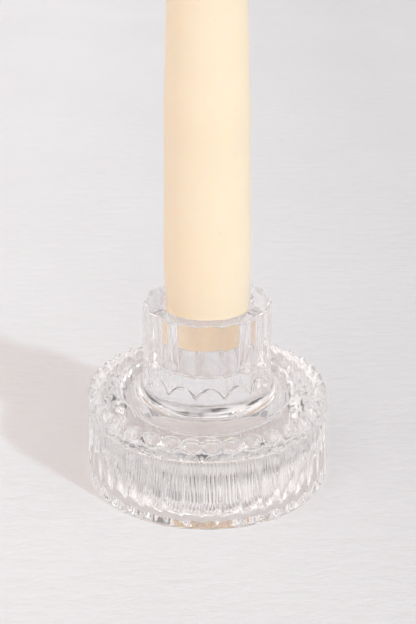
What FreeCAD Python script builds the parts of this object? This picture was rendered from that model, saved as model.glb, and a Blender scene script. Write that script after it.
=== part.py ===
import FreeCAD, Part
import math
import os

# Pressed-glass candlestick with a taper candle standing in it. Millimetres, +Z up, origin at the
# centre of the face the holder rests on. Every surface is set out around the vertical axis.

QUARTER_TURN = (math.sqrt(2) - 1) / 2  # bow of a quarter circle, as a share of its chord

# Foot disc: a thick glass puck with a bevelled top edge. Concave flutes round its side die away
# above the table and below the bevel; scoops run down the bevel, one over each flute.
DISC_FLUTES = 38
DISC_FOOT_R = 31.7  # just above the table
DISC_EDGE_R = 30.95  # at the lower edge of the bevel
DISC_EDGE_Z = 22.0
DISC_TOP_R = 30.55  # over the ridges between the scoops
DISC_FACE_Z = 24.4
FOOT_CHAMFER = 0.5
SIDE_CUTTER_R = 4.6  # radius of the round tool that leaves one side flute
SIDE_FLUTE_DEPTH = 0.9
SIDE_FLUTE_SPAN = (0.8, 20.9)  # heights where a flute begins and ends
SIDE_FLUTE_FULL_SPAN = (10.0, 17.0)  # heights between which it has its full depth
SIDE_FLUTE_BOW = 0.03
SCOOP_CUTTER_R = 2.95
SCOOP_START_R = 28.8  # where the middle of a scoop leaves the top face
SCOOP_SLOPE = 49.0  # degrees below level

# Top face: a shallow round step inside the scoops, then a small cove up to the collar.
STEP_OUTER_R = 23.4
STEP_INNER_R = 22.5
INNER_FACE_Z = 23.8
STEP_BOW = 0.15
COVE_FOOT_R = 19.2

# Flared core that rises out of the cove inside the collar, so that the collar's flutes end on it
# in round arches. (radius, height) from the top of the cove upwards.
CORE = [(16.95, 26.7), (16.6, 28.2), (16.3, 29.4), (15.9, 30.6), (15.3, 31.8), (14.0, 33.5)]

# Collar: fluted neck round the candle socket.
COLLAR_FLUTES = 14
COLLAR_FOOT_R = 16.62
COLLAR_RIM_R = 16.45
RIM_Z = 48.15
RIM_ROUND = 0.6
COLLAR_CUTTER_R = 11.8
COLLAR_FLUTE_R = 15.62  # distance from the axis to the middle of a flute
COLLAR_START_Z = 24.5

# Socket: tapered hole that wedges the foot of the candle above a well of air.
SOCKET_LIP_R = 11.95
SOCKET_MOUTH_R = 11.1
SOCKET_MOUTH_Z = 47.3
SOCKET_SEAT_R = 10.22
SOCKET_FLOOR_Z = 31.3
SOCKET_FLOOR_ROUND = 1.8
SOCKET_LIP_BOW = 0.16

# Tealight recess in the underside, used when the holder is turned over.
RECESS_R = 21.4
RECESS_DEPTH = 17.8
RECESS_ROUND = 1.8
RECESS_LIP = 0.5

# Taper candle, poured wax with a cotton wick through its middle.
CANDLE_FOOT_Z = 39.4
CANDLE_LENGTH = 150.0
CANDLE_FOOT_R = 10.2
CANDLE_FOOT_ROUND = 0.5
CANDLE_BELLY_R = 11.0
CANDLE_BELLY_Z = 60.0
CANDLE_MIDDLE_R = 10.48
CANDLE_MIDDLE_Z = 95.0
CANDLE_UPPER_R = 9.4
CANDLE_UPPER_Z = 130.0
CANDLE_SHOULDER_R = 8.1
CANDLE_SHOULDER_Z = 181.0
CANDLE_TIP_R = 1.6
CANDLE_DOME_BOW = 0.17
WICK_R = 1.0
WICK_HOLE_R = 1.02
WICK_ABOVE_TIP = 11.0
WICK_ABOVE_FOOT = 0.3


def at(r, z):
    """Point in the half plane that is turned round the axis."""
    return FreeCAD.Vector(r, 0, z)


def turned(edges):
    """Solid of revolution round the vertical axis from a closed chain of profile edges."""
    face = Part.Face(Part.Wire(edges))
    return face.revolve(FreeCAD.Vector(), FreeCAD.Vector(0, 0, 1), 360)


def chain(points):
    """Straight edges through (r, z) points."""
    return [Part.LineSegment(at(*a), at(*b)).toShape() for a, b in zip(points, points[1:])]


def bowed(start, end, bow):
    """Arc whose middle stands off its chord, to the right of travel, by bow times the chord."""
    run = (end[0] - start[0], end[1] - start[1])
    middle_r = (start[0] + end[0]) / 2 + run[1] * bow
    middle_z = (start[1] + end[1]) / 2 - run[0] * bow
    return Part.Arc(at(*start), at(middle_r, middle_z), at(*end)).toShape()


def ring_of(shape, count):
    """Copies of a shape made on the +X side, spaced evenly from the front (-Y) round the axis."""
    copies = []
    for index in range(count):
        copy = shape.copy()
        copy.rotate(FreeCAD.Vector(), FreeCAD.Vector(0, 0, 1), index * 360.0 / count - 90.0)
        copies.append(copy)
    return copies


def foot_and_core():
    """Foot disc with its bevel, step and cove, and the flared core, before any flute is cut."""
    step_outer = (STEP_OUTER_R, DISC_FACE_Z)
    step_inner = (STEP_INNER_R, INNER_FACE_Z)
    cove_foot = (COVE_FOOT_R, INNER_FACE_Z)
    edges = chain(
        [
            (0, 0),
            (DISC_FOOT_R - FOOT_CHAMFER, 0),
            (DISC_FOOT_R, FOOT_CHAMFER),
            (DISC_EDGE_R, DISC_EDGE_Z),
            (DISC_TOP_R, DISC_FACE_Z),
            step_outer,
        ]
    )
    edges.append(bowed(step_outer, step_inner, STEP_BOW))
    edges += chain([step_inner, cove_foot])
    edges.append(bowed(cove_foot, CORE[0], -QUARTER_TURN))
    edges += chain(CORE + [(0, CORE[-1][1]), (0, 0)])
    return turned(edges)


def side_flutes():
    """Upright barrel-shaped tools that leave one concave flute each, dying away at both ends."""
    begin, end = SIDE_FLUTE_SPAN
    full_low, full_high = SIDE_FLUTE_FULL_SPAN
    shallow = SIDE_CUTTER_R - SIDE_FLUTE_DEPTH
    edges = chain([(0, begin), (shallow, begin)])
    edges.append(bowed((shallow, begin), (SIDE_CUTTER_R, full_low), SIDE_FLUTE_BOW))
    edges += chain([(SIDE_CUTTER_R, full_low), (SIDE_CUTTER_R, full_high)])
    edges.append(bowed((SIDE_CUTTER_R, full_high), (shallow, end), 2 * SIDE_FLUTE_BOW))
    edges += chain([(shallow, end), (0, end), (0, begin)])
    lean = math.degrees(math.atan2(DISC_FOOT_R - DISC_EDGE_R, DISC_EDGE_Z - FOOT_CHAMFER))
    tool = turned(edges)
    tool.translate(at(DISC_FOOT_R + shallow, 0))
    tool.rotate(at(DISC_FOOT_R + shallow, FOOT_CHAMFER), FreeCAD.Vector(0, 1, 0), -lean)
    return ring_of(tool, DISC_FLUTES)


def edge_scoops():
    """Round tools that cut down and outwards through the bevel, one over each side flute."""
    slope = math.radians(SCOOP_SLOPE)
    run_in, length = 4.0, 14.0
    along = FreeCAD.Vector(math.cos(slope), 0, -math.sin(slope))
    above = FreeCAD.Vector(math.sin(slope), 0, math.cos(slope))
    start = at(SCOOP_START_R, DISC_FACE_Z) - along * run_in + above * SCOOP_CUTTER_R
    tool = Part.makeCylinder(SCOOP_CUTTER_R, length, start, along)
    return ring_of(tool, DISC_FLUTES)


def collar():
    """Solid neck with concave flutes from end to end."""
    rim_side = (COLLAR_RIM_R, RIM_Z - RIM_ROUND)
    rim_top = (COLLAR_RIM_R - RIM_ROUND, RIM_Z)
    edges = chain([(0, COLLAR_START_Z), (COLLAR_FOOT_R, COLLAR_START_Z), rim_side])
    edges.append(bowed(rim_side, rim_top, QUARTER_TURN))
    edges += chain([rim_top, (0, RIM_Z), (0, COLLAR_START_Z)])
    lean = math.degrees(math.atan2(COLLAR_FOOT_R - COLLAR_RIM_R, RIM_Z - COLLAR_START_Z))
    reach = 3.0
    centre_r = COLLAR_FLUTE_R + COLLAR_CUTTER_R
    tool = Part.makeCylinder(
        COLLAR_CUTTER_R, RIM_Z - COLLAR_START_Z + 2 * reach, at(centre_r, COLLAR_START_Z - reach)
    )
    tool.rotate(at(centre_r, RIM_Z), FreeCAD.Vector(0, 1, 0), -lean)
    return turned(edges).cut(ring_of(tool, COLLAR_FLUTES))


def socket():
    """Tapered candle socket with a rounded lip and a rounded floor."""
    taper = (SOCKET_MOUTH_R - SOCKET_SEAT_R) / (SOCKET_MOUTH_Z - CANDLE_FOOT_Z)
    wall_z = SOCKET_FLOOR_Z + SOCKET_FLOOR_ROUND
    wall_r = SOCKET_SEAT_R - taper * (CANDLE_FOOT_Z - wall_z)
    floor_edge = (wall_r - SOCKET_FLOOR_ROUND, SOCKET_FLOOR_Z)
    mouth = (SOCKET_MOUTH_R, SOCKET_MOUTH_Z)
    lip = (SOCKET_LIP_R, RIM_Z)
    above = RIM_Z + 2.0
    edges = chain([(0, SOCKET_FLOOR_Z), floor_edge])
    edges.append(bowed(floor_edge, (wall_r, wall_z), QUARTER_TURN))
    edges += chain([(wall_r, wall_z), mouth])
    edges.append(bowed(mouth, lip, -SOCKET_LIP_BOW))
    edges += chain([lip, (SOCKET_LIP_R, above), (0, above), (0, SOCKET_FLOOR_Z)])
    return turned(edges)


def recess():
    """Round tealight recess with an eased lip and a rounded ceiling corner."""
    wall_top = (RECESS_R, RECESS_DEPTH - RECESS_ROUND)
    ceiling_edge = (RECESS_R - RECESS_ROUND, RECESS_DEPTH)
    below = -2.0
    edges = chain(
        [
            (0, below),
            (RECESS_R + RECESS_LIP, below),
            (RECESS_R + RECESS_LIP, 0),
            (RECESS_R, RECESS_LIP),
            wall_top,
        ]
    )
    edges.append(bowed(wall_top, ceiling_edge, QUARTER_TURN))
    edges += chain([ceiling_edge, (0, RECESS_DEPTH), (0, below)])
    return turned(edges)


def glass_holder():
    foot = foot_and_core().cut(side_flutes()).cut(edge_scoops())
    return foot.fuse(collar()).cut([socket(), recess()])


def candle_wax():
    """Straight taper with a slight belly above the rim and a domed top, bored for its wick."""
    tip_z = CANDLE_FOOT_Z + CANDLE_LENGTH
    foot_edge = (CANDLE_FOOT_R - CANDLE_FOOT_ROUND, CANDLE_FOOT_Z)
    side_foot = (CANDLE_FOOT_R, CANDLE_FOOT_Z + CANDLE_FOOT_ROUND)
    shoulder = (CANDLE_SHOULDER_R, CANDLE_SHOULDER_Z)
    tip = (CANDLE_TIP_R, tip_z)
    side = Part.BSplineCurve()
    side.interpolate(
        [
            at(*side_foot),
            at((side_foot[0] + CANDLE_BELLY_R) / 2, (side_foot[1] + CANDLE_BELLY_Z) / 2),
            at(CANDLE_BELLY_R, CANDLE_BELLY_Z),
            at(CANDLE_MIDDLE_R, CANDLE_MIDDLE_Z),
            at(CANDLE_UPPER_R, CANDLE_UPPER_Z),
            at(*shoulder),
        ]
    )
    edges = chain([(WICK_HOLE_R, CANDLE_FOOT_Z), foot_edge])
    edges.append(bowed(foot_edge, side_foot, QUARTER_TURN))
    edges.append(side.toShape())
    edges.append(bowed(shoulder, tip, CANDLE_DOME_BOW))
    edges += chain([tip, (WICK_HOLE_R, tip_z), (WICK_HOLE_R, CANDLE_FOOT_Z)])
    return turned(edges)


def candle_wick():
    """Cotton wick from just inside the foot to its free end above the tip."""
    bottom = CANDLE_FOOT_Z + WICK_ABOVE_FOOT
    length = CANDLE_LENGTH - WICK_ABOVE_FOOT + WICK_ABOVE_TIP
    return Part.makeCylinder(WICK_R, length, at(0, bottom))


def main():
    os.makedirs("parts", exist_ok=True)
    nodes = {
        "glass_holder": glass_holder(),
        "candle_wax": candle_wax(),
        "candle_wick": candle_wick(),
    }
    for name, shape in nodes.items():
        solid = shape.Solids[0] if shape.Solids else shape
        print(name, "solids", len(shape.Solids), "valid", shape.isValid(),
              "volume cm3", round(solid.Volume / 1000, 2))
        solid.exportStep(os.path.join("parts", name + ".step"))


main()
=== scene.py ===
import math

import bpy
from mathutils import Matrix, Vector, noise


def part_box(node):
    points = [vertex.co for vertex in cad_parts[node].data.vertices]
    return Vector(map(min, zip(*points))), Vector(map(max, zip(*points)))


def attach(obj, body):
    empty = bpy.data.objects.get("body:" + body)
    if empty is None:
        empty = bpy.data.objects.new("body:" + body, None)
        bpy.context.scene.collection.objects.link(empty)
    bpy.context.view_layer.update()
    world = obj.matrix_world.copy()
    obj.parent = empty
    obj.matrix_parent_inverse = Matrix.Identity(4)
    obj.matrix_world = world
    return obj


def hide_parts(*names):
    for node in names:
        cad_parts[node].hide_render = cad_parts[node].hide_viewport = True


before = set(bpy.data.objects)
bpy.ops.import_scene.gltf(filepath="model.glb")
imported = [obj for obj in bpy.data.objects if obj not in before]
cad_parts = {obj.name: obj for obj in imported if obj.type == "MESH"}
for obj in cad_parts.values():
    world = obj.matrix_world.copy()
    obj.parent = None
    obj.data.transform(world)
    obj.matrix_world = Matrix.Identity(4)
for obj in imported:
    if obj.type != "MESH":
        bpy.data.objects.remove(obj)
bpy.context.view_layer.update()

MM = 0.001
FRONT = -math.pi / 2  # the angle of -Y, where a foot flute and a collar flute line up
TAU = 2 * math.pi

# ---------------------------------------------------------------- sizes, in millimetres, as in the CAD
HOLDER_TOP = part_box("glass_holder")[1].z / MM
WAX_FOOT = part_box("candle_wax")[0].z / MM
WAX_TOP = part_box("candle_wax")[1].z / MM
WICK_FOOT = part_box("candle_wick")[0].z / MM
WICK_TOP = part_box("candle_wick")[1].z / MM

FOOT_FLUTES = 38
COLLAR_FLUTES = 14
FACE_Z = 24.4  # top face of the foot
INNER_FACE_Z = 23.8  # inside the shallow step
EDGE_R = 26.0  # the mesh is finer outside this radius, on the base and on the top face
RECESS_R = 21.4
RECESS_DEPTH = 17.8
SOCKET_FLOOR_Z = 31.3
CORE_FOOT_R = 16.95  # where the core rises out of the cove
CORE_FOOT_Z = 26.7

# points round each part of the mesh
FOOT_AROUND = FOOT_FLUTES * 20
COLLAR_AROUND = COLLAR_FLUTES * 36
SOCKET_AROUND = 320
RECESS_AROUND = 384
WAX_AROUND = 112

# share of a flute's half width over which its ridge is rounded
SIDE_RIDGE = 0.12
SCOOP_RIDGE = 0.10
COLLAR_RIDGE = 0.08

# the foot's side leans in by SIDE_LEAN over SIDE_RUN, going up from SIDE_FROM_Z
SIDE_R = 31.66
SIDE_LEAN = 0.66
SIDE_RUN = 20.0
SIDE_FROM_Z = 1.3
SIDE_CURVE = 0.71  # how much shallower the tool's round cut is at the ridge than in mid flute
SIDE_CREASE = 0.08  # a flute and the plain side are blended where they are closer than this
SIDE_DEPTHS = [  # (height, depth in mid flute)
    (0.5, 0.0), (1.0, 0.22), (1.6, 0.34), (3.0, 0.46), (5.0, 0.62), (7.5, 0.78), (10.0, 0.9),
    (17.0, 0.92), (18.2, 0.84), (19.2, 0.64), (20.0, 0.36), (20.6, 0.08), (20.9, 0.0), (22.0, 0.0),
]
SIDE_HEIGHTS = [0.6 + 0.45 * i for i in range(22)]
SIDE_HEIGHTS += [11.2, 13.4, 15.6, 16.6, 17.2]
SIDE_HEIGHTS += [17.6 + 0.25 * i for i in range(14)]

# the collar's ridges lean in and its flutes get shallower, going up
RIDGE_R = 16.62
RIDGE_LEAN = 0.17
RIDGE_RUN = 20.4
RIDGE_FROM_Z = 27.0
FLUTE_TOP_R = 15.62
FLUTE_LEAN = 0.12
FLUTE_RUN = 20
COLLAR_HEIGHTS = [26.9 + 0.25 * i for i in range(22)] + [34.0, 37.0, 40.0, 43.0, 46.0]
LIP_HEIGHT = 1.2
LIP_ROUND = 0.55
CORE_CREASE = 0.18  # the flutes and the core are blended where they are closer than this
CORE = [  # (radius, height) of the flared middle that the collar flutes run down onto
    (CORE_FOOT_R, CORE_FOOT_Z), (16.6, 28.2), (16.3, 29.4), (15.9, 30.6), (15.3, 31.8),
    (14.0, 33.5), (10.0, 36.0),
]

# profiles, each corner as (radius, height, corner rounding, steps in the rounding, steps after it)
BASE_PROFILE = [
    (EDGE_R, 0.0, 0, 1, 1),
    (27.1, 0.0, 0, 1, 3),
    (31.64, 0.0, 0.3, 4, 1),
    (SIDE_R, 0.5, 0, 1, 1),
]
SCOOP_MIDDLE_PROFILE = [
    (31.0, 21.2, 0, 1, 1),
    (30.97, 21.95, 0.3, 4, 4),
    (28.8, FACE_Z, 0.25, 3, 3),
    (27.1, FACE_Z, 0, 1, 1),
    (EDGE_R, FACE_Z, 0, 1, 1),
]
SCOOP_RIDGE_PROFILE = [
    (31.0, 22.2, 0, 1, 1),
    (30.75, 23.75, 0.3, 4, 4),
    (30.5, FACE_Z, 0.2, 3, 3),
    (27.1, FACE_Z, 0, 1, 1),
    (EDGE_R, FACE_Z, 0, 1, 1),
]
SHOULDER_PROFILE = [
    (25.0, FACE_Z, 0, 1, 1),
    (23.5, FACE_Z, 0.3, 3, 1),
    (22.5, INNER_FACE_Z, 0.6, 4, 2),
    (17.9, INNER_FACE_Z, 2.2, 8, 1),
    (CORE_FOOT_R, CORE_FOOT_Z, 0, 1, 1),
]
SOCKET_PROFILE = [
    (13.2, HOLDER_TOP, 0, 1, 1),
    (12.0, HOLDER_TOP, 0.5, 4, 1),
    (11.1, HOLDER_TOP - 0.85, 0.5, 3, 8),
    (9.35, SOCKET_FLOOR_Z, 1.8, 8, 1),
    (5.0, SOCKET_FLOOR_Z, 0, 1, 1),
]
RECESS_PROFILE = [
    (RECESS_R + 0.8, 0.0, 0, 1, 1),
    (RECESS_R + 0.45, 0.0, 0.3, 3, 1),
    (RECESS_R, 0.5, 0.4, 3, 5),
    (RECESS_R, RECESS_DEPTH, 1.8, 8, 1),
    (12.0, RECESS_DEPTH, 0, 1, 2),
    (4.0, RECESS_DEPTH, 0, 1, 1),
]

# the waver of the pressed skin: broad ripples and fine upright streaks, weaker on the foot
RIPPLE = 0.012
RIPPLE_SIZE = 7.0
STREAK = 0.022
STREAK_SIZE = 1.1
STREAK_STRETCH = 0.08
STREAK_ON_FOOT = 0.3
STREAK_MORE_ABOVE = 0.7
STREAK_FROM_Z = 24.0
STREAK_RUN = 4.0
WAVER_SHIFT = Vector((3.1, 3.1 * 0.7, -3.1))
WAVER_MIN_R = 0.5  # points nearer to the axis than this stay where they are

# the candle's side as (radius, height); above WAX_TIP_Z it rounds off to the tip
WAX_TIP_Z = 181.0
WAX_SIDE = [
    (10.20, WAX_FOOT + 0.5), (10.30, 44.0), (10.50, 48.3), (10.80, 54.0), (10.98, 59.3),
    (10.86, 66.0), (10.70, 75.0), (10.54, 85.6), (10.48, 94.0), (10.40, 100.7), (10.16, 105.6),
    (9.96, 112.8), (9.60, 124.6), (9.32, 134.0), (8.90, 148.0), (8.50, 162.0), (8.10, 176.0),
    (7.80, WAX_TIP_Z), (6.90, 184.4), (5.30, 187.0), (3.30, WAX_TOP - 0.5), (1.9, WAX_TOP - 0.1),
]
WAX_FOOT_EDGE = [
    (1.02, WAX_FOOT), (5.0, WAX_FOOT), (9.4, WAX_FOOT), (9.75, WAX_FOOT + 0.03),
    (10.02, WAX_FOOT + 0.15), (10.15, WAX_FOOT + 0.3),
]
WICK_HOLE_MOUTH = [(1.2, WAX_TOP - 0.25), (0.95, WAX_TOP - 0.9), (0.9, WAX_TOP - 3.0)]
WAX_STEP = 1.6
WAX_EASE = 0.4  # share of each stretch of the side that eases in and out
WAX_HOLE_R = 1.5  # inside this radius the wax has no dents
# dents in the wax as (depth, size, place in the noise), broad ones and fine ones
BROAD_DENT = (0.12, 14.0, Vector((5.1, 0.3, 2.2)))
FINE_DENT = (0.025, 4.0, Vector((1.1, 7.3, 0.2)))

# the wick's plait: three strands that weave from side to side and in front of each other
STRANDS = 3
STRAND_SIDES = 8
STRAND_R = 0.40
STRAND_ROWS = 14  # rows of points in each turn of the plait
PLAIT_PITCH = 3.4
PLAIT_WIDTH = 0.54
PLAIT_DEPTH = 0.30
WICK_END = 0.3  # the strands stop this far short of the wick's ends
WICK_PINCH = 0.6  # thickness of a strand at its two ends, as a share of the rest
WICK_SWELL = 0.10
WICK_SWELL_SCALE = 1.7

# ---------------------------------------------------------------- light and camera
KEY_AZIMUTH = math.radians(-47.0)  # from +X
KEY_ELEVATION = math.radians(31.0)
KEY_WIDTH = math.radians(3.5)
KEY_STRENGTH = 1.15
KEY_COLOUR = (0.62, 0.87, 1.0)

DOORWAY_MIDDLE = (-0.02, -0.92, 0.36)
DOORWAY_SHAPE = (2.4, 1.0, 1.6)  # larger is narrower

CAMERA_AZIMUTH = math.radians(-2.3)  # from the front
CAMERA_ELEVATION = math.radians(24.56)
CAMERA_DISTANCE = 0.37513  # metres
CAMERA_AIM_Z = 0.04496
CAMERA_SHIFT = 0.0002
CAMERA_LENS = 85.0
CAMERA_SENSOR = 36.0

FLOOR_HALF = 6.0  # metres
FLOOR_GAP = 0.00005


# ---------------------------------------------------------------- profiles
def rounded(corners):
    """Points along a path of (r, z, corner radius, arc steps, straight steps) with its corners rounded."""
    path = []
    last = len(corners) - 1
    entry, leave = [], []
    for i, (r, z, radius, _, _) in enumerate(corners):
        here = Vector((r, z))
        if i in (0, last) or radius == 0:
            entry.append(here)
            leave.append(here)
            continue
        back = (Vector(corners[i - 1][:2]) - here).normalized()
        on = (Vector(corners[i + 1][:2]) - here).normalized()
        half = math.acos(max(-1, min(1, back.dot(on)))) / 2
        reach = radius / math.tan(half)
        entry.append(here + back * reach)
        leave.append(here + on * reach)
    for i, (r, z, radius, steps, straight) in enumerate(corners):
        path.append(entry[i])
        if leave[i] != entry[i]:
            here = Vector((r, z))
            inward = ((entry[i] + leave[i]) / 2 - here).normalized()
            centre = here + inward * math.sqrt(radius ** 2 + (entry[i] - here).length ** 2)
            a, b = entry[i] - centre, leave[i] - centre
            angle = a.angle(b)
            for k in range(1, steps):
                t = k / steps
                path.append(centre + a * (math.sin((1 - t) * angle) / math.sin(angle))
                            + b * (math.sin(t * angle) / math.sin(angle)))
            path.append(leave[i])
        if i < last:
            for k in range(1, straight):
                path.append(leave[i].lerp(entry[i + 1], k / straight))
    return path


def flute(turn, count, ridge):
    """0 in the middle of a flute and 1 on its ridge, with the ridge slightly rounded."""
    u = abs(((turn * count) % 1.0 + 0.5) % 1.0 - 0.5) * 2
    if u < 1 - ridge:
        return u * u / (1 - ridge)
    t = u - (1 - ridge)
    return ((1 - ridge) ** 2 + 2 * (1 - ridge) * (t - t * t / (2 * ridge))) / (1 - ridge)


def crease(apart, width):
    """What is added to the outer of two surfaces this far apart, so that they blend where they cross."""
    gap = max(0.0, width - abs(apart)) / width
    return gap * gap * width / 4


# ---------------------------------------------------------------- mesh building
class Shell:
    """Vertices and faces of one piece, built from rings round the vertical axis."""

    def __init__(self):
        self.points = []
        self.faces = []
        self.calm_from = math.inf  # points from this one on are left without ripple or streak

    def ring(self, count, place):
        """Adds a ring of points; place(turn) gives (r, z) at each share of a turn from the front."""
        first = len(self.points)
        for i in range(count):
            r, z = place(i / count)
            angle = FRONT + TAU * i / count
            self.points.append((r * math.cos(angle), r * math.sin(angle), z))
        return list(range(first, first + count))

    def join(self, low, high):
        """Quads or triangles between two rings, the second one following the first along the skin."""
        if len(low) == len(high):
            for i in range(len(low)):
                j = (i + 1) % len(low)
                self.faces.append((low[i], low[j], high[j], high[i]))
            return
        i = j = 0
        n, m = len(low), len(high)
        while i < n or j < m:
            if j >= m or (i < n and (i + 1) / n <= (j + 1) / m):
                self.faces.append((low[i % n], low[(i + 1) % n], high[j % m]))
                i += 1
            else:
                self.faces.append((low[i % n], high[(j + 1) % m], high[j % m]))
                j += 1

    def cap(self, ring, z):
        """Closes a ring with triangles to one point on the axis at height z."""
        centre = len(self.points)
        self.points.append((0.0, 0.0, z))
        for i in range(len(ring)):
            j = (i + 1) % len(ring)
            self.faces.append((ring[i], ring[j], centre))

    def skin(self, count, path, first=None):
        """A run of rings along a profile, path being a list of functions of the turn."""
        rings = [self.ring(count, place) for place in path]
        if first is not None:
            self.join(first, rings[0])
        for a, b in zip(rings, rings[1:]):
            self.join(a, b)
        return rings

    def to_object(self, name, wavering=False):
        """Mesh object of the shell; a wavering skin is pushed inwards by up to a few hundredths."""
        placed = []
        for index, p in enumerate(self.points):
            v = Vector(p)
            if wavering and index < self.calm_from:
                out = Vector((v.x, v.y, 0))
                if out.length > WAVER_MIN_R:
                    v = v - out.normalized() * abs(waver(v))
            placed.append(v * MM)
        return mesh_object(name, placed, self.faces)


def waver(v):
    """Ripple and streak of the pressed skin at a point, before its sign is dropped."""
    push = noise.noise(v / RIPPLE_SIZE + WAVER_SHIFT) * RIPPLE
    rise = max(0.0, min(1.0, (v.z - STREAK_FROM_Z) / STREAK_RUN))
    fade = STREAK_ON_FOOT + STREAK_MORE_ABOVE * rise
    upright = Vector((v.x, v.y, v.z * STREAK_STRETCH))
    return push + noise.noise(upright / STREAK_SIZE + WAVER_SHIFT) * STREAK * fade


def mesh_object(name, points, faces):
    mesh = bpy.data.meshes.new(name)
    mesh.from_pydata(points, [], faces)
    mesh.validate()
    mesh.update()
    mesh.shade_smooth()
    made = bpy.data.objects.new(name, mesh)
    bpy.context.scene.collection.objects.link(made)
    return made


def between(middle_path, ridge_path, count, ridge, core=None):
    """Profile functions that run from the middle path to the ridge path round each flute."""
    made = []
    for c, r in zip(middle_path, ridge_path):
        def place(turn, c=c, r=r):
            k = flute(turn, count, ridge)
            out = c.x + (r.x - c.x) * k
            if core is not None:
                inside = core(c.y)
                out = max(out, inside) + crease(out - inside, CORE_CREASE)
            return out, c.y + (r.y - c.y) * k
        made.append(place)
    return made


def plain(path):
    """Profile functions of a path that is the same all the way round."""
    return [lambda turn, p=p: (p.x, p.y) for p in path]


# ---------------------------------------------------------------- the pressed glass
def side_ring(z):
    """One ring of the foot's side: flutes cut by a round tool, dying away at both ends."""
    for (z0, d0), (z1, d1) in zip(SIDE_DEPTHS, SIDE_DEPTHS[1:]):
        if z0 <= z <= z1:
            depth = d0 + (d1 - d0) * (z - z0) / (z1 - z0)
    side = SIDE_R - SIDE_LEAN * (z - SIDE_FROM_Z) / SIDE_RUN

    def place(turn):
        cut = depth - SIDE_CURVE * flute(turn, FOOT_FLUTES, SIDE_RIDGE)
        return side - (max(0.0, cut) + crease(cut, SIDE_CREASE) * min(1.0, depth / SIDE_CREASE)), z
    return place


def core_radius(z):
    """Radius of the flared core, and 0 above it."""
    for (r0, z0), (r1, z1) in zip(CORE, CORE[1:]):
        if z <= z1:
            return r0 + (r1 - r0) * (z - z0) / (z1 - z0)
    return 0.0


def lip(below, edge, rim):
    """The collar's rounded top edge, given by its radius below the lip, at the edge and on the rim."""
    return rounded([
        (below, HOLDER_TOP - LIP_HEIGHT, 0, 1, 1),
        (edge, HOLDER_TOP, LIP_ROUND, 5, 1),
        (rim, HOLDER_TOP, 0, 1, 1),
    ])


def glass_holder():
    """The holder's outer skin from the base to the socket floor, then the recess under the foot."""
    shell = Shell()
    base = shell.skin(FOOT_AROUND, plain(rounded(BASE_PROFILE)))
    side = shell.skin(FOOT_AROUND, [side_ring(z) for z in SIDE_HEIGHTS], first=base[-1])
    scoop_path = between(rounded(SCOOP_MIDDLE_PROFILE), rounded(SCOOP_RIDGE_PROFILE),
                         FOOT_FLUTES, SCOOP_RIDGE)
    scoops = shell.skin(FOOT_AROUND, scoop_path, first=side[-1])
    shoulder = shell.skin(COLLAR_AROUND, plain(rounded(SHOULDER_PROFILE)), first=scoops[-1])

    ridge, middle = [], []
    for z in COLLAR_HEIGHTS:
        ridge.append(Vector((RIDGE_R - RIDGE_LEAN * (z - RIDGE_FROM_Z) / RIDGE_RUN, z)))
        middle.append(Vector((FLUTE_TOP_R + FLUTE_LEAN * (HOLDER_TOP - z) / FLUTE_RUN, z)))
    ridge += lip(16.46, 16.44, 15.2)
    middle += lip(15.63, FLUTE_TOP_R, 14.6)
    collar_path = between(middle, ridge, COLLAR_FLUTES, COLLAR_RIDGE, core_radius)
    collar = shell.skin(COLLAR_AROUND, collar_path, first=shoulder[-1])

    socket = shell.skin(SOCKET_AROUND, plain(rounded(SOCKET_PROFILE)), first=collar[-1])
    shell.cap(socket[-1], SOCKET_FLOOR_Z)

    shell.calm_from = len(shell.points)
    recess = shell.skin(RECESS_AROUND, plain(rounded(RECESS_PROFILE)))
    # Known fault: this should join the lip to base[0]. As it is, the flat base is open between
    # the lip and EDGE_R, and a cone of faces runs through the glass from the lip up to the side.
    shell.join(recess[0], scoops[0])
    shell.cap(recess[-1], RECESS_DEPTH)
    # the recess runs the other way round the skin, so its faces are turned over
    shell.faces = [f[::-1] if min(f) >= recess[0][0] else f for f in shell.faces]
    return shell.to_object("pressed_glass_holder", wavering=True)


# ---------------------------------------------------------------- candle
def wax_radius(z):
    """Radius of the candle's side at height z, up to WAX_TIP_Z."""
    for (r0, z0), (r1, z1) in zip(WAX_SIDE, WAX_SIDE[1:]):
        if z <= z1:
            t = (z - z0) / (z1 - z0)
            t = t * t * (3 - 2 * t) * WAX_EASE + t * (1 - WAX_EASE)
            return r0 + (r1 - r0) * t


def dent(p, kind):
    depth, size, shift = kind
    return max(0.0, noise.noise(p / size + shift)) * depth


def candle_wax():
    """The taper from its foot up to the tip, then down into the wick hole and back to the foot."""
    path = list(WAX_FOOT_EDGE)
    z = WAX_FOOT + 0.5
    while z < WAX_TIP_Z:
        path.append((wax_radius(z), z))
        z += WAX_STEP
    path += [corner for corner in WAX_SIDE if corner[1] >= WAX_TIP_Z]
    path += WICK_HOLE_MOUTH

    def place(r, z):
        def at(turn):
            angle = FRONT + TAU * turn
            if r < WAX_HOLE_R:
                return r, z
            p = Vector((math.cos(angle) * r, math.sin(angle) * r, z))
            return r - dent(p, BROAD_DENT) - dent(p, FINE_DENT), z
        return at

    shell = Shell()
    rings = shell.skin(WAX_AROUND, [place(r, z) for r, z in path])
    shell.join(rings[-1], rings[0])
    return shell.to_object("taper_candle_wax")


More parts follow.
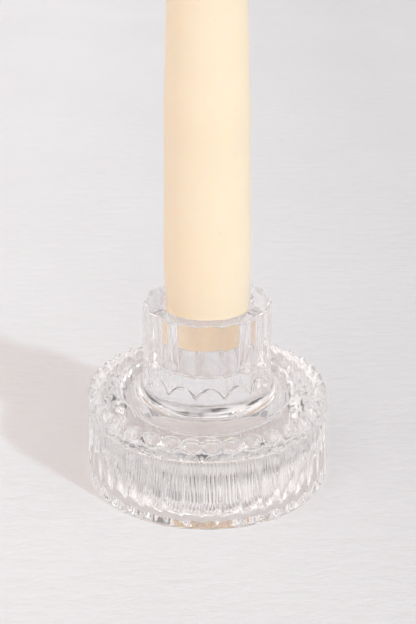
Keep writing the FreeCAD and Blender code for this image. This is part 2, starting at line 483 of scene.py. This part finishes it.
def candle_wick():
    """Three cotton strands plaited along the whole wick."""
    points, faces = [], []
    rows = int((WICK_TOP - WICK_FOOT) / PLAIT_PITCH * STRAND_ROWS)
    for strand in range(STRANDS):
        shift = TAU * strand / STRANDS
        base = len(points)
        for i in range(rows + 1):
            z = WICK_FOOT + WICK_END + (WICK_TOP - WICK_FOOT - 2 * WICK_END) * i / rows
            t = TAU * z / PLAIT_PITCH + shift
            mid = Vector((PLAIT_WIDTH * math.sin(t), PLAIT_DEPTH * math.sin(2 * t), z))
            ahead = Vector((PLAIT_WIDTH * math.cos(t), 2 * PLAIT_DEPTH * math.cos(2 * t),
                            PLAIT_PITCH / TAU)).normalized()
            across = ahead.cross(Vector((0, 1, 0))).normalized()
            up = across.cross(ahead)
            swell = STRAND_R * (1 + WICK_SWELL * noise.noise(mid * WICK_SWELL_SCALE))
            if i in (0, rows):
                swell *= WICK_PINCH
            for k in range(STRAND_SIDES):
                a = TAU * k / STRAND_SIDES
                spot = mid + across * (swell * math.cos(a)) + up * (swell * math.sin(a))
                points.append(spot * MM)
        for i in range(rows):
            low = base + i * STRAND_SIDES
            high = low + STRAND_SIDES
            for k in range(STRAND_SIDES):
                n = (k + 1) % STRAND_SIDES
                faces.append((low + k, low + n, high + n, high + k))
        faces.append(tuple(base + k for k in range(STRAND_SIDES))[::-1])
        faces.append(tuple(base + rows * STRAND_SIDES + k for k in range(STRAND_SIDES)))
    return mesh_object("braided_wick", points, faces)


# ---------------------------------------------------------------- materials
class Nodes:
    """Short way to build a tree of shader nodes."""

    def __init__(self, tree, coordinates):
        self.tree = tree
        self.place = self.add("ShaderNodeTexCoord").outputs[coordinates]

    def add(self, kind, **values):
        node = self.tree.nodes.new(kind)
        for key, value in values.items():
            if key in node.inputs:
                node.inputs[key].default_value = value
            else:
                setattr(node, key, value)
        return node

    def link(self, source, target):
        self.tree.links.new(source, target)

    def noise(self, scale, detail=2.0, roughness=0.5, stretch=None):
        node = self.add("ShaderNodeTexNoise", Scale=scale, Detail=detail, Roughness=roughness)
        source = self.place
        if stretch:
            mapping = self.add("ShaderNodeMapping")
            mapping.inputs["Scale"].default_value = stretch
            self.link(self.place, mapping.inputs["Vector"])
            source = mapping.outputs["Vector"]
        self.link(source, node.inputs["Vector"])
        return node.outputs["Fac"]

    def graded(self, source, start, end, low, high):
        """Runs from low to high while the source runs from start to end."""
        node = self.add("ShaderNodeMapRange")
        node.inputs["From Min"].default_value = start
        node.inputs["From Max"].default_value = end
        node.inputs["To Min"].default_value = low
        node.inputs["To Max"].default_value = high
        self.link(source, node.inputs["Value"])
        return node.outputs["Result"]

    def spread(self, source, low, high):
        """Spreads the middle of a noise, where most of it lies, over low to high."""
        return self.graded(source, 0.3, 0.7, low, high)

    def ramp(self, source, *stops):
        node = self.add("ShaderNodeValToRGB")
        elements = node.color_ramp.elements
        while len(elements) < len(stops):
            elements.new(0.5)
        for element, (position, colour) in zip(elements, stops):
            element.position = position
            element.color = (*colour, 1)
        self.link(source, node.inputs["Fac"])
        return node.outputs["Color"]

    def tinted(self, colour, tint, amount):
        """One colour multiplied by another, by this amount."""
        node = self.add("ShaderNodeMix", data_type="RGBA", blend_type="MULTIPLY")
        node.inputs["Factor"].default_value = amount
        self.link(colour, node.inputs[6])
        self.link(tint, node.inputs[7])
        return node.outputs[2]

    def times(self, first, second):
        node = self.add("ShaderNodeMath", operation="MULTIPLY")
        self.link(first, node.inputs[0])
        self.link(second, node.inputs[1])
        return node.outputs["Value"]

    def bump(self, source, strength, distance, normal=None):
        node = self.add("ShaderNodeBump", Strength=strength, Distance=distance)
        self.link(source, node.inputs["Height"])
        if normal is not None:
            self.link(normal, node.inputs["Normal"])
        return node.outputs["Normal"]


class Surface(Nodes):
    """A material, its patterns fixed to the piece that wears it."""

    def __init__(self, name):
        self.material = bpy.data.materials.new(name)
        self.material.use_nodes = True
        super().__init__(self.material.node_tree, "Object")
        self.shader = self.tree.nodes["Principled BSDF"]

    def set(self, socket, value):
        target = self.shader.inputs[socket]
        if isinstance(value, bpy.types.NodeSocket):
            self.link(value, target)
        else:
            target.default_value = value


def glass_material():
    m = Surface("clear_pressed_glass")
    m.set("Base Color", m.ramp(m.noise(60, detail=2),
                               (0.35, (0.972, 0.970, 0.974)), (0.65, (0.996, 0.994, 0.996))))
    m.set("Roughness", m.spread(m.noise(220, detail=3), low=0.0, high=0.02))
    m.set("IOR", 1.5)
    m.set("Transmission Weight", 1.0)
    m.set("Normal", m.bump(m.noise(420, detail=2), strength=0.06, distance=0.0002))
    return m.material


def wax_material():
    m = Surface("ivory_wax")
    tone = m.ramp(m.noise(45, detail=3), (0.3, (0.985, 0.77, 0.56)), (0.7, (1.0, 0.80, 0.60)))
    specks = m.add("ShaderNodeTexVoronoi", Scale=260.0)
    m.link(m.place, specks.inputs["Vector"])
    dots = m.ramp(specks.outputs["Distance"], (0.035, (0.72, 0.55, 0.36)), (0.06, (1, 1, 1)))
    m.set("Base Color", m.tinted(tone, dots, amount=0.25))
    m.set("Subsurface Weight", 0.45)
    m.set("Subsurface Radius", (1.0, 0.65, 0.35))
    m.set("Subsurface Scale", 0.003)
    m.set("Roughness", m.spread(m.noise(120, detail=3), low=0.42, high=0.56))
    m.set("IOR", 1.43)
    dents = m.bump(m.noise(140, detail=2), strength=0.10, distance=0.0006)
    grain = m.bump(m.noise(900, detail=3), strength=0.08, distance=0.0002, normal=dents)
    m.set("Normal", grain)
    return m.material


def cotton_material():
    m = Surface("braided_cotton")
    fibres = m.noise(1400, detail=4, roughness=0.6, stretch=(1, 1, 0.25))
    m.set("Base Color", m.ramp(fibres, (0.3, (0.74, 0.70, 0.61)), (0.7, (0.93, 0.91, 0.85))))
    m.set("Roughness", m.spread(m.noise(900, detail=2), low=0.8, high=0.95))
    m.set("Sheen Weight", 0.3)
    m.set("Normal", m.bump(fibres, strength=0.5, distance=0.0003))
    return m.material


def floor_material():
    """Pale plaster, with painted shade that makes it a little darker and cooler towards the right."""
    m = Surface("pale_plaster")
    broad = m.noise(9, detail=4, roughness=0.6)
    tone = m.ramp(broad, (0.3, (0.765, 0.74, 0.74)), (0.7, (0.795, 0.772, 0.772)))
    split = m.add("ShaderNodeSeparateXYZ")
    m.link(m.place, split.inputs["Vector"])
    # painted shade: the plaster's colour darkens and cools towards +X, standing in for less light falling
    # there
    across = m.graded(split.outputs["X"], -0.06, 0.10, low=0.0, high=1.0)
    fade = m.ramp(across, (0.0, (1.0, 1.0, 1.0)), (1.0, (0.865, 0.865, 0.87)))
    m.set("Base Color", m.tinted(tone, fade, amount=1.0))
    m.set("Roughness", m.spread(m.noise(60, detail=3), low=0.7, high=0.9))
    m.set("Specular IOR Level", 0.2)
    fine = m.noise(120, detail=6, roughness=0.65, stretch=(1.0, 2.2, 1.0))
    m.set("Normal", m.bump(fine, strength=0.4, distance=0.0014))
    return m.material


# ---------------------------------------------------------------- pieces on their bodies
def place_piece(made, node, body, material):
    made.data.materials.clear()
    made.data.materials.append(material)
    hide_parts(node)
    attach(made, body)


holder = glass_holder()
holder.cycles.is_caustics_caster = True
place_piece(holder, "glass_holder", "holder", glass_material())
wax = candle_wax()
wax.cycles.is_caustics_receiver = True
place_piece(wax, "candle_wax", "candle", wax_material())
place_piece(candle_wick(), "candle_wick", "candle", cotton_material())


# ---------------------------------------------------------------- floor, light and camera
def floor():
    mesh = bpy.data.meshes.new("floor")
    half = FLOOR_HALF
    corners = [(-half, -half, 0), (half, -half, 0), (half, half, 0), (-half, half, 0)]
    mesh.from_pydata(corners, [], [(0, 1, 2, 3)])
    made = bpy.data.objects.new("floor", mesh)
    bpy.context.scene.collection.objects.link(made)
    made.data.materials.append(floor_material())
    made.cycles.is_caustics_receiver = True
    made.location.z = -FLOOR_GAP


def surroundings():
    """A bright room with patches of light and shade and one dim doorway behind the camera.

    It is brighter overhead and towards the front, and dimmer at the back and on the right.
    """
    world = bpy.data.worlds.new("studio")
    bpy.context.scene.world = world
    world.use_nodes = True
    room = Nodes(world.node_tree, "Generated")
    patches = room.ramp(room.noise(4.2, detail=1.5), (0.37, (0.20, 0.185, 0.18)),
                        (0.42, (0.60, 0.575, 0.57)), (0.58, (1.0, 0.95, 0.935)))

    towards = room.add("ShaderNodeVectorMath", operation="SUBTRACT")
    towards.inputs[1].default_value = DOORWAY_MIDDLE
    room.link(room.place, towards.inputs[0])
    shape = room.add("ShaderNodeVectorMath", operation="MULTIPLY")
    shape.inputs[1].default_value = DOORWAY_SHAPE
    room.link(towards.outputs["Vector"], shape.inputs[0])
    away = room.add("ShaderNodeVectorMath", operation="LENGTH")
    room.link(shape.outputs["Vector"], away.inputs[0])
    doorway = room.ramp(away.outputs["Value"], (0.50, (0.50, 0.48, 0.47)), (0.62, (1, 1, 1)))

    split = room.add("ShaderNodeSeparateXYZ")
    room.link(room.place, split.inputs["Vector"])
    height = room.graded(split.outputs["Z"], 0.05, 0.75, low=0.83, high=1.62)
    depth = room.graded(split.outputs["Y"], -0.5, 0.5, low=1.30, high=0.69)
    side = room.graded(split.outputs["X"], -0.5, 0.7, low=1.05, high=0.84)
    background = world.node_tree.nodes["Background"]
    room.link(room.times(height, room.times(depth, side)), background.inputs["Strength"])
    room.link(room.tinted(patches, doorway, amount=1.0), background.inputs["Color"])


def key_light():
    """A small bright window off to the front right, about 30 degrees up."""
    data = bpy.data.lights.new("key", "SUN")
    data.angle = KEY_WIDTH
    data.energy = KEY_STRENGTH
    data.cycles.is_caustics_light = True
    data.color = KEY_COLOUR
    made = bpy.data.objects.new("key", data)
    bpy.context.scene.collection.objects.link(made)
    level = math.cos(KEY_ELEVATION)
    towards = Vector((math.cos(KEY_AZIMUTH) * level, math.sin(KEY_AZIMUTH) * level,
                      math.sin(KEY_ELEVATION)))
    made.rotation_mode = "QUATERNION"
    made.rotation_quaternion = towards.to_track_quat("Z", "Y")


def camera():
    """Camera in front, looking a little down on the candlestick."""
    level = math.cos(CAMERA_ELEVATION)
    back = Vector((math.sin(CAMERA_AZIMUTH) * level, -math.cos(CAMERA_AZIMUTH) * level,
                   math.sin(CAMERA_ELEVATION)))
    right = Vector((math.cos(CAMERA_AZIMUTH), math.sin(CAMERA_AZIMUTH), 0))
    data = bpy.data.cameras.new("camera")
    data.lens = CAMERA_LENS
    data.sensor_width = CAMERA_SENSOR
    made = bpy.data.objects.new("camera", data)
    bpy.context.scene.collection.objects.link(made)
    aim = Vector((0, 0, CAMERA_AIM_Z))
    made.location = aim + back * CAMERA_DISTANCE + right * CAMERA_SHIFT
    made.rotation_mode = "QUATERNION"
    made.rotation_quaternion = (-back).to_track_quat("-Z", "Y")
    bpy.context.scene.camera = made


floor()
surroundings()
key_light()
camera()

scene = bpy.context.scene
scene.view_settings.view_transform = "Standard"
scene.cycles.max_bounces = 64
scene.cycles.transmission_bounces = 64
scene.cycles.glossy_bounces = 32
scene.cycles.diffuse_bounces = 6
scene.cycles.blur_glossy = 0.0
